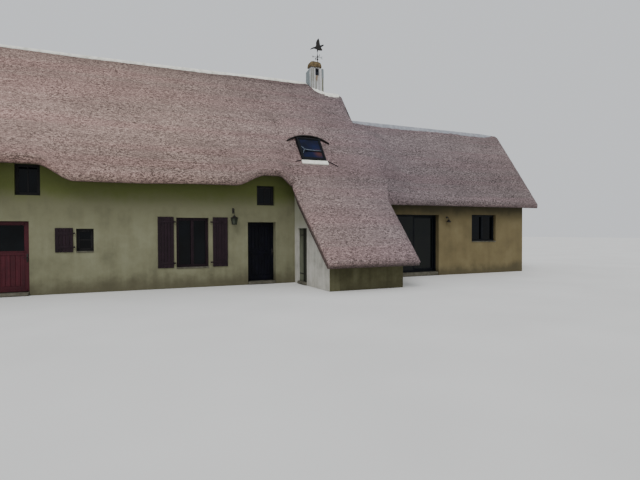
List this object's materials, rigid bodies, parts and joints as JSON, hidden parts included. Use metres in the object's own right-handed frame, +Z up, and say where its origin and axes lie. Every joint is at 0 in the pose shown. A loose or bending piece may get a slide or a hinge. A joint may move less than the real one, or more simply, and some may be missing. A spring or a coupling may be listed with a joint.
{
  "type": "thatched cottage",
  "caption": "Long rendered cottage under a deep thatched roof with eyebrow eaves, a sweeping lean-to roof, a lower wing, a chimney with a weather vane, and doors and shutters that open.",
  "frame": {"origin": "on the ground under the main ridge, halfway along the main house, on the underside of the house floor", "axes": "+X along the garden front towards the wing, +Y from the garden front to the rear, +Z up"},
  "size_m": [23.08, 10.5967, 10.115],
  "materials": {
    "thatch": "weathered reed thatch, combed, with cut stem ends",
    "mortar": "pale lime mortar, rough",
    "house_render": "matt lime render, weathered",
    "wing_render": "matt lime render, warm beige",
    "white_render": "matt whitewash with rain streaks",
    "doorstep_stone": "worn grey stone",
    "floor_tile": "plain stone floor",
    "plum_paint": "satin plum paint on boards",
    "maroon_paint": "satin maroon paint",
    "dark_blue_paint": "satin blue-black paint",
    "old_boards": "bare weathered grey-green boards",
    "dark_frame": "satin dark grey coating",
    "brown_frame": "satin brown paint on a casement with dark glass",
    "window_glass": "clear, dark from the room behind",
    "wrought_iron": "black painted, slightly rusty",
    "mossy_cap": "mortar under yellow lichen"
  },
  "bodies": {
    "cottage": {"thatch_front": "thatch", "thatch_sweep": "thatch", "thatch_rear": "thatch", "wing_thatch_front": "thatch", "wing_thatch_rear": "thatch", "main_ridge_cap": "mortar", "wing_ridge_cap": "mortar", "roof_light_frame": "dark_frame", "roof_light_glass": "window_glass", "roof_light_hood": "wrought_iron", "roof_light_apron": "mortar", "chimney_stack": "white_render", "chimney_cap": "mossy_cap", "vane_mast": "wrought_iron", "front_wall_left": "house_render", "front_wall_over_left_door": "house_render", "front_wall_middle": "house_render", "front_wall_over_entrance": "house_render", "front_wall_right": "house_render", "rear_wall": "house_render", "left_gable_wall": "house_render", "right_gable_wall": "house_render", "house_floor": "floor_tile", "wing_front_wall_left": "wing_render", "wing_front_wall_right": "wing_render", "wing_rear_wall": "wing_render", "wing_gable_wall": "wing_render", "wing_floor": "floor_tile", "lean_to_side_wall": "white_render", "lean_to_front_wall": "house_render", "lean_to_right_wall": "house_render", "lean_to_floor": "floor_tile", "left_door_step": "doorstep_stone", "entrance_step": "doorstep_stone", "side_door_step": "doorstep_stone", "side_door_post": "dark_frame", "garden_door_frame": "dark_frame", "garden_door_fixed_glass": "window_glass", "garden_door_step": "doorstep_stone", "loft_window": "brown_frame", "pantry_window": "brown_frame", "over_door_window": "brown_frame", "french_window_frame": "plum_paint", "french_window_glass": "window_glass", "wing_window_frame": "dark_frame", "wing_window_glass": "window_glass", "rear_glass": "window_glass", "wing_rear_glass": "window_glass", "wall_lantern": "wrought_iron", "wing_lamp": "wrought_iron"},
    "left_door": {"left_door_leaf": "maroon_paint", "left_door_glass": "window_glass"},
    "entrance_door": {"entrance_leaf": "dark_blue_paint"},
    "side_door": {"side_door_leaf": "old_boards"},
    "sliding_door": {"garden_door_leaf": "dark_frame", "garden_door_leaf_glass": "window_glass"},
    "left_shutter": {"french_shutter_left": "plum_paint"},
    "right_shutter": {"french_shutter_right": "plum_paint"},
    "small_shutter": {"pantry_shutter": "plum_paint"},
    "vane": {"vane_bird": "wrought_iron"}
  },
  "joints": [
    {"name": "left_door_hinge", "type": "hinge", "parent": "cottage", "child": "left_door", "pos_m": [-5.002, -3.13, 1.1], "axis": [0, 0, 1], "range_deg": [0, 90]},
    {"name": "entrance_hinge", "type": "hinge", "parent": "cottage", "child": "entrance_door", "pos_m": [2.218, -2.99, 1.1], "axis": [0, 0, 1], "range_deg": [0, 90]},
    {"name": "side_door_hinge", "type": "hinge", "parent": "cottage", "child": "side_door", "pos_m": [3.97, -3.638, 1], "axis": [0, 0, 1], "range_deg": [0, 90]},
    {"name": "garden_door_slide", "type": "slide", "parent": "cottage", "child": "sliding_door", "axis": [-1, 0, 0], "range_m": [0, 0.93]},
    {"name": "left_shutter_hinge", "type": "hinge", "parent": "cottage", "child": "left_shutter", "pos_m": [-0.145, -3.34, 1.45], "axis": [0, 0, 1], "range_deg": [0, 180]},
    {"name": "right_shutter_hinge", "type": "hinge", "parent": "cottage", "child": "right_shutter", "pos_m": [0.965, -3.34, 1.45], "axis": [0, 0, -1], "range_deg": [0, 180]},
    {"name": "small_shutter_hinge", "type": "hinge", "parent": "cottage", "child": "small_shutter", "pos_m": [-2.96, -3.34, 1.55], "axis": [0, 0, 1], "range_deg": [0, 180]},
    {"name": "vane_spin", "type": "hinge", "parent": "cottage", "child": "vane", "pos_m": [6.21, -0.03, 9.5], "axis": [0, 0, 1], "continuous": true}
  ]
}
